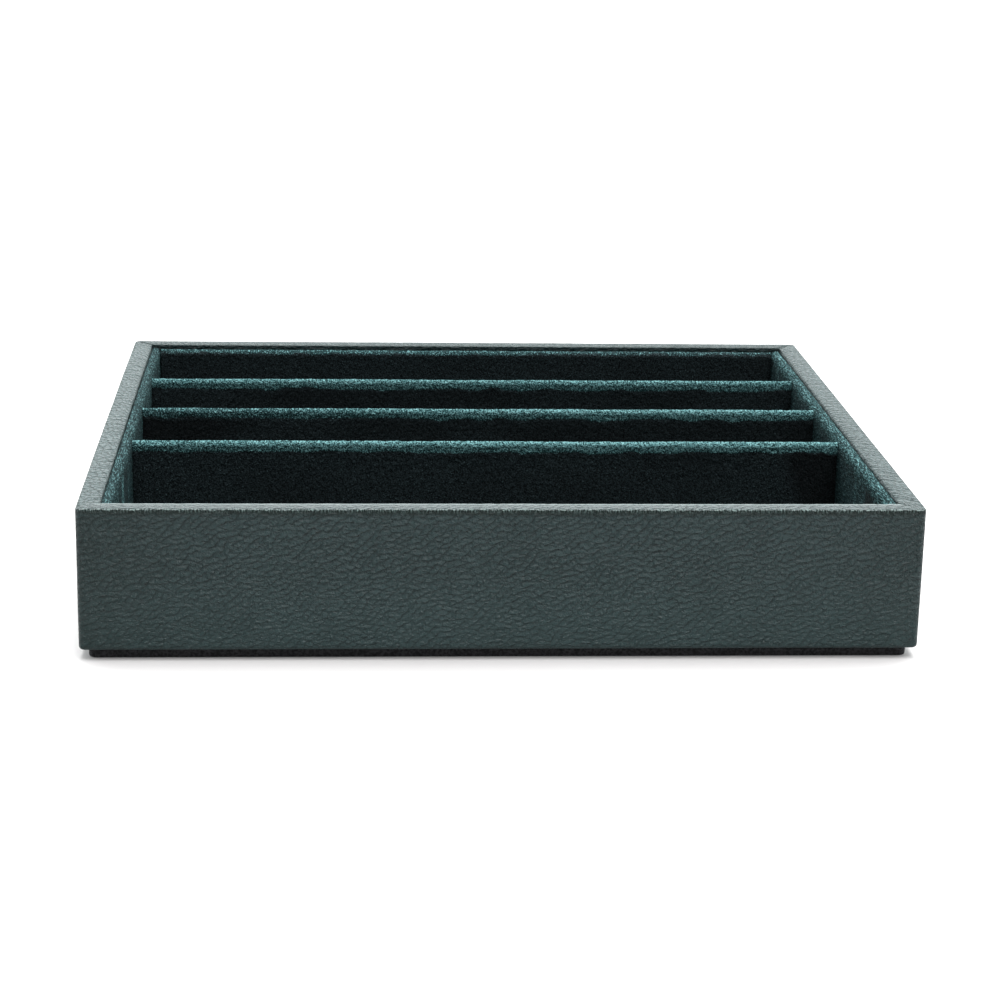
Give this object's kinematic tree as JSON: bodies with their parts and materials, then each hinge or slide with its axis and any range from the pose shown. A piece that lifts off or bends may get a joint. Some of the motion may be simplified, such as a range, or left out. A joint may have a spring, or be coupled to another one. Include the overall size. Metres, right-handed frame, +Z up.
{
  "type": "watch strap tray",
  "caption": "Low rectangular leather-wrapped tray with a suede lining, cross dividers that make a wide lane and equal narrower lanes for watch straps, and an inset base pad.",
  "frame": {"origin": "middle of the underside of the base pad, on the surface that the tray stands on", "axes": "+X to the tray's right, seen from the wide lane's side, +Y from the front with the wide lane to the back, +Z up"},
  "size_m": [0.3, 0.27, 0.056],
  "materials": {
    "pebbled_leather_green": "satin",
    "suede_green": "matte",
    "pad_cover_black": "matte",
    "carcass_board": "matte",
    "lining_card_grey": "matte"
  },
  "bodies": {
    "root": {"base_pad_cover": "pad_cover_black", "base_pad_board": "lining_card_grey", "bottom_board": "carcass_board", "front_wall_board": "carcass_board", "back_wall_board": "carcass_board", "left_wall_board": "carcass_board", "right_wall_board": "carcass_board", "leather_wrap": "pebbled_leather_green", "front_lining_card": "lining_card_grey", "back_lining_card": "lining_card_grey", "left_lining_card": "lining_card_grey", "right_lining_card": "lining_card_grey", "front_lining_suede": "suede_green", "back_lining_suede": "suede_green", "left_lining_suede": "suede_green", "right_lining_suede": "suede_green", "floor_lining_card": "lining_card_grey", "floor_lining_suede": "suede_green", "front_divider_card": "lining_card_grey", "middle_divider_card": "lining_card_grey", "rear_divider_card": "lining_card_grey", "front_divider_suede": "suede_green", "middle_divider_suede": "suede_green", "rear_divider_suede": "suede_green"}
  },
  "joints": []
}
